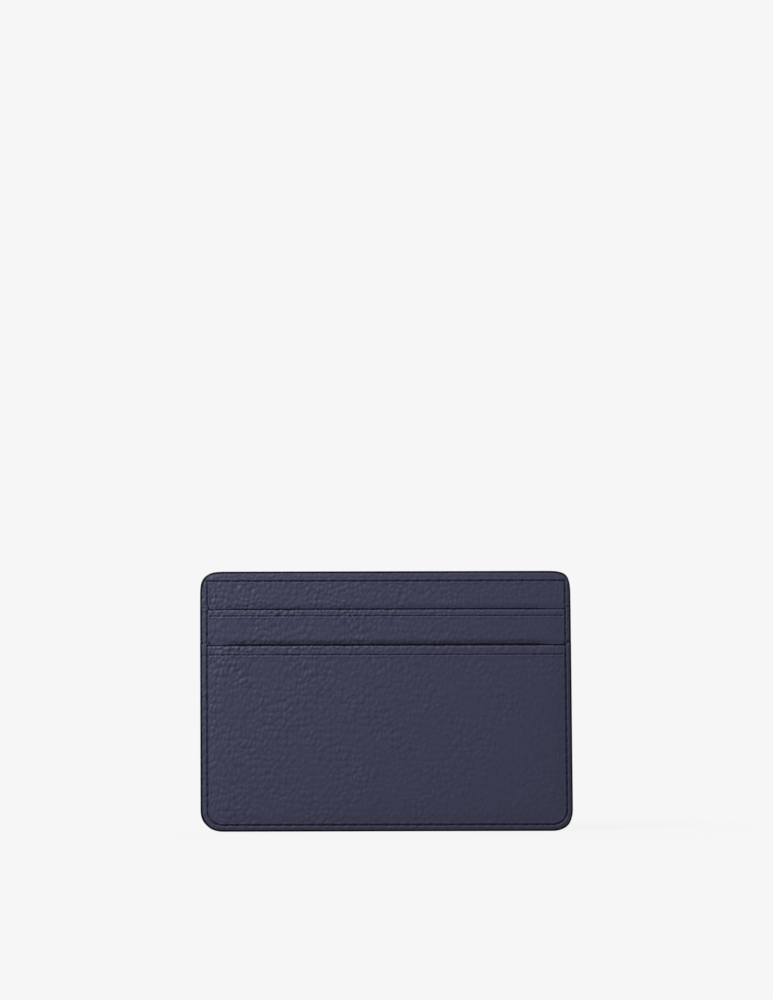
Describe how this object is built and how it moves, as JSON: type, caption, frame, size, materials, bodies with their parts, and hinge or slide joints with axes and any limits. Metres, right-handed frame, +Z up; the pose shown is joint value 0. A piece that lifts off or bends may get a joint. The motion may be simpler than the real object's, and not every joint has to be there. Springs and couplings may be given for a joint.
{
  "type": "card holder",
  "caption": "Slim flat leather card holder with stacked card pockets on both faces and an open-topped pocket between them.",
  "frame": {"origin": "centre of the sewn bottom edge that the holder stands on", "axes": "+X across the holder's width, +Z up to the pocket mouths, +Y through its thickness towards the back face"},
  "size_m": [0.1, 0.006, 0.0698],
  "materials": {
    "leather": "pebble-grained, satin, dark navy",
    "lining": "fine twill, matt, dark navy",
    "board": "bonded leather fibre board, matt",
    "tape": "non-woven tape, matt",
    "thread": "bonded thread, slight sheen, dark navy",
    "edge_paint": "burnished edge paint, near black, satin"
  },
  "bodies": {
    "back_wall": {"back_main_panel": "leather", "back_main_board": "board", "back_main_lining": "lining", "back_top_edge_paint": "edge_paint", "back_top_thread": "thread", "side_edge_paint": "edge_paint"},
    "front_wall": {"front_main_panel": "leather", "front_main_board": "board", "front_main_lining": "lining", "front_top_edge_paint": "edge_paint", "front_top_thread": "thread"},
    "front_upper_leaf": {"front_upper_pocket_strip": "leather", "front_upper_pocket_lining": "lining", "front_upper_pocket_lip_tape": "tape", "front_upper_pocket_lip_paint": "edge_paint", "front_upper_pocket_card_stop_thread": "thread"},
    "front_lower_leaf": {"front_lower_pocket_panel": "leather", "front_lower_pocket_lining": "lining", "front_lower_pocket_lip_tape": "tape", "front_lower_pocket_lip_paint": "edge_paint", "front_perimeter_thread": "thread"},
    "back_upper_leaf": {"back_upper_pocket_strip": "leather", "back_upper_pocket_lining": "lining", "back_upper_pocket_lip_tape": "tape", "back_upper_pocket_lip_paint": "edge_paint", "back_upper_pocket_card_stop_thread": "thread"},
    "back_lower_leaf": {"back_lower_pocket_panel": "leather", "back_lower_pocket_lining": "lining", "back_lower_pocket_lip_tape": "tape", "back_lower_pocket_lip_paint": "edge_paint", "back_perimeter_thread": "thread"}
  },
  "joints": [
    {"name": "front_wall_gape", "type": "hinge", "parent": "back_wall", "child": "front_wall", "pos_m": [0, -0.00058, 0.0017], "axis": [1, 0, 0], "range_deg": [0, 3], "stiffness_Nm_per_rad": 0.02, "springref_deg": -1.15},
    {"name": "front_upper_gape", "type": "hinge", "parent": "back_wall", "child": "front_upper_leaf", "pos_m": [0, -0.00161, 0.0017], "axis": [1, 0, 0], "range_deg": [0, 6], "stiffness_Nm_per_rad": 0.01, "springref_deg": -1.15},
    {"name": "front_lower_gape", "type": "hinge", "parent": "back_wall", "child": "front_lower_leaf", "pos_m": [0, -0.00259, 0.0017], "axis": [1, 0, 0], "range_deg": [0, 9], "stiffness_Nm_per_rad": 0.01, "springref_deg": -1.15},
    {"name": "back_upper_gape", "type": "hinge", "parent": "back_wall", "child": "back_upper_leaf", "pos_m": [0, 0.00161, 0.0017], "axis": [-1, 0, 0], "range_deg": [0, 3], "stiffness_Nm_per_rad": 0.01, "springref_deg": -1.15},
    {"name": "back_lower_gape", "type": "hinge", "parent": "back_wall", "child": "back_lower_leaf", "pos_m": [0, 0.00259, 0.0017], "axis": [-1, 0, 0], "range_deg": [0, 6], "stiffness_Nm_per_rad": 0.01, "springref_deg": -1.15}
  ],
  "couplings": [
    {"joint": "front_upper_gape", "follows": "front_wall_gape", "ratio": 2},
    {"joint": "front_lower_gape", "follows": "front_wall_gape", "ratio": 3},
    {"joint": "back_lower_gape", "follows": "back_upper_gape", "ratio": 2}
  ]
}
